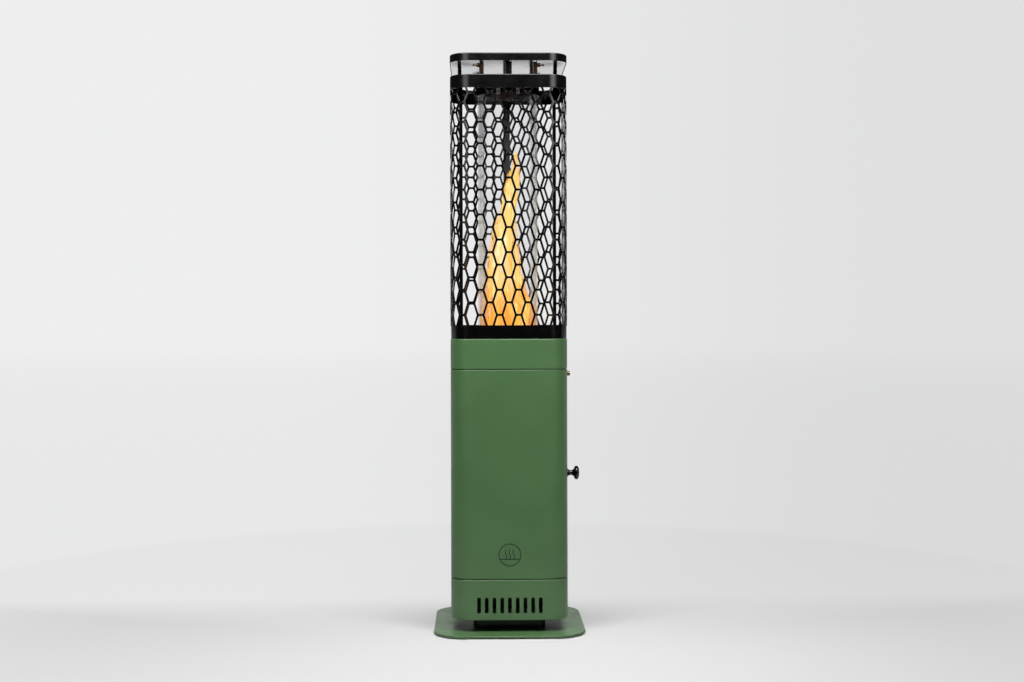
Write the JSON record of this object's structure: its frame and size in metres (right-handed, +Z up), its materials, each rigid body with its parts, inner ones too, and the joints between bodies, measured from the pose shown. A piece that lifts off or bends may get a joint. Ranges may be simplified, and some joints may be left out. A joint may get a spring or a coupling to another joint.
{
  "type": "outdoor heater",
  "caption": "Free-standing patio heater: square rounded column on a base plate, flame tube in a perforated guard under a lift-off cap.",
  "frame": {"origin": "on the ground, below the middle of the column", "axes": "+Z up, +X towards the door and its knob, -Y towards the front with the air slots and the badge"},
  "size_m": [0.35, 0.35, 1.339],
  "materials": {
    "green_coat": "satin powder coat, mid green, fine orange peel",
    "black_coat": "satin black heat-proof powder coat",
    "rubber": "matte black rubber",
    "dark_steel": "bare dark rolled steel",
    "stainless": "brushed stainless steel",
    "heat_tinted_steel": "stainless steel tinted bronze by heat",
    "glass": "clear heat-proof glass",
    "gasket": "woven glass-fibre rope",
    "gloss_black": "gloss black",
    "brass": "dull brass, browned by heat",
    "badge": "satin black heat-wave symbol on the green coat"
  },
  "bodies": {
    "root": {"base_plate": "green_coat", "lower_shell": "green_coat", "middle_shell": "green_coat", "collar_shell": "green_coat", "plinth": "black_coat", "guard_base_ring": "black_coat", "glass_socket": "black_coat", "flame_guard": "black_coat", "top_band": "black_coat", "upright_left": "black_coat", "upright_rear": "black_coat", "upright_right": "black_coat", "cap_post_front": "black_coat", "cap_post_rear": "black_coat", "cap_post_left": "black_coat", "cap_post_right": "black_coat", "lower_hinge_body_leaf": "black_coat", "upper_hinge_body_leaf": "black_coat", "foot_pad_front_left": "rubber", "foot_pad_front_right": "rubber", "foot_pad_rear_left": "rubber", "foot_pad_rear_right": "rubber", "drawer_rail_left": "dark_steel", "drawer_rail_right": "dark_steel", "cabinet_floor": "dark_steel", "door_frame": "dark_steel", "canister_stand": "dark_steel", "fuel_grate": "dark_steel", "burner_deck": "dark_steel", "lower_hinge_pin": "dark_steel", "upper_hinge_pin": "dark_steel", "canister_outer": "stainless", "canister_inner": "stainless", "flame_cone": "stainless", "glass_top_collar": "heat_tinted_steel", "tab_bracket_front": "heat_tinted_steel", "tab_bracket_rear": "heat_tinted_steel", "glass_tube": "glass", "gasket_lower": "gasket", "gasket_upper": "gasket", "badge": "badge"},
    "door": {"door_panel": "green_coat", "door_stiffener": "dark_steel", "door_knob": "gloss_black", "knob_screw": "dark_steel", "lower_hinge_door_leaf": "black_coat", "upper_hinge_door_leaf": "black_coat", "lock_barrel": "brass"},
    "lock": {"lock_core": "brass", "lock_cam": "dark_steel"},
    "cap": {"cap_shell": "black_coat", "cap_heat_shield": "stainless"},
    "ash_drawer": {"ash_drawer_tray": "dark_steel", "ash_drawer_front": "green_coat", "ash_drawer_pull": "black_coat"},
    "wing_screw_front_left": {"wing_screw_front_left": "brass"},
    "wing_screw_front_right": {"wing_screw_front_right": "brass"},
    "wing_screw_rear_left": {"wing_screw_rear_left": "brass"},
    "wing_screw_rear_right": {"wing_screw_rear_right": "brass"}
  },
  "joints": [
    {"name": "door_swing", "type": "hinge", "parent": "root", "child": "door", "pos_m": [0.1389, 0.07, 0.37], "axis": [0, 0, 1], "range_deg": [0, 110]},
    {"name": "lock_turn", "type": "hinge", "parent": "door", "child": "lock", "pos_m": [0.1355, -0.07, 0.599], "axis": [-1, 0, 0], "range_deg": [0, 90]},
    {"name": "cap_lift", "type": "slide", "parent": "root", "child": "cap", "axis": [0, 0, 1], "range_m": [0, 0.15]},
    {"name": "ash_drawer_slide", "type": "slide", "parent": "root", "child": "ash_drawer", "axis": [0, 1, 0], "range_m": [0, 0.16]},
    {"name": "wing_screw_front_left_turn", "type": "hinge", "parent": "cap", "child": "wing_screw_front_left", "pos_m": [-0.07, -0.118, 1.312], "axis": [-1, 0, 0], "continuous": true},
    {"name": "wing_screw_front_right_turn", "type": "hinge", "parent": "cap", "child": "wing_screw_front_right", "pos_m": [0.07, -0.118, 1.312], "axis": [1, 0, 0], "continuous": true},
    {"name": "wing_screw_rear_left_turn", "type": "hinge", "parent": "cap", "child": "wing_screw_rear_left", "pos_m": [-0.07, 0.118, 1.312], "axis": [-1, 0, 0], "continuous": true},
    {"name": "wing_screw_rear_right_turn", "type": "hinge", "parent": "cap", "child": "wing_screw_rear_right", "pos_m": [0.07, 0.118, 1.312], "axis": [1, 0, 0], "continuous": true}
  ]
}
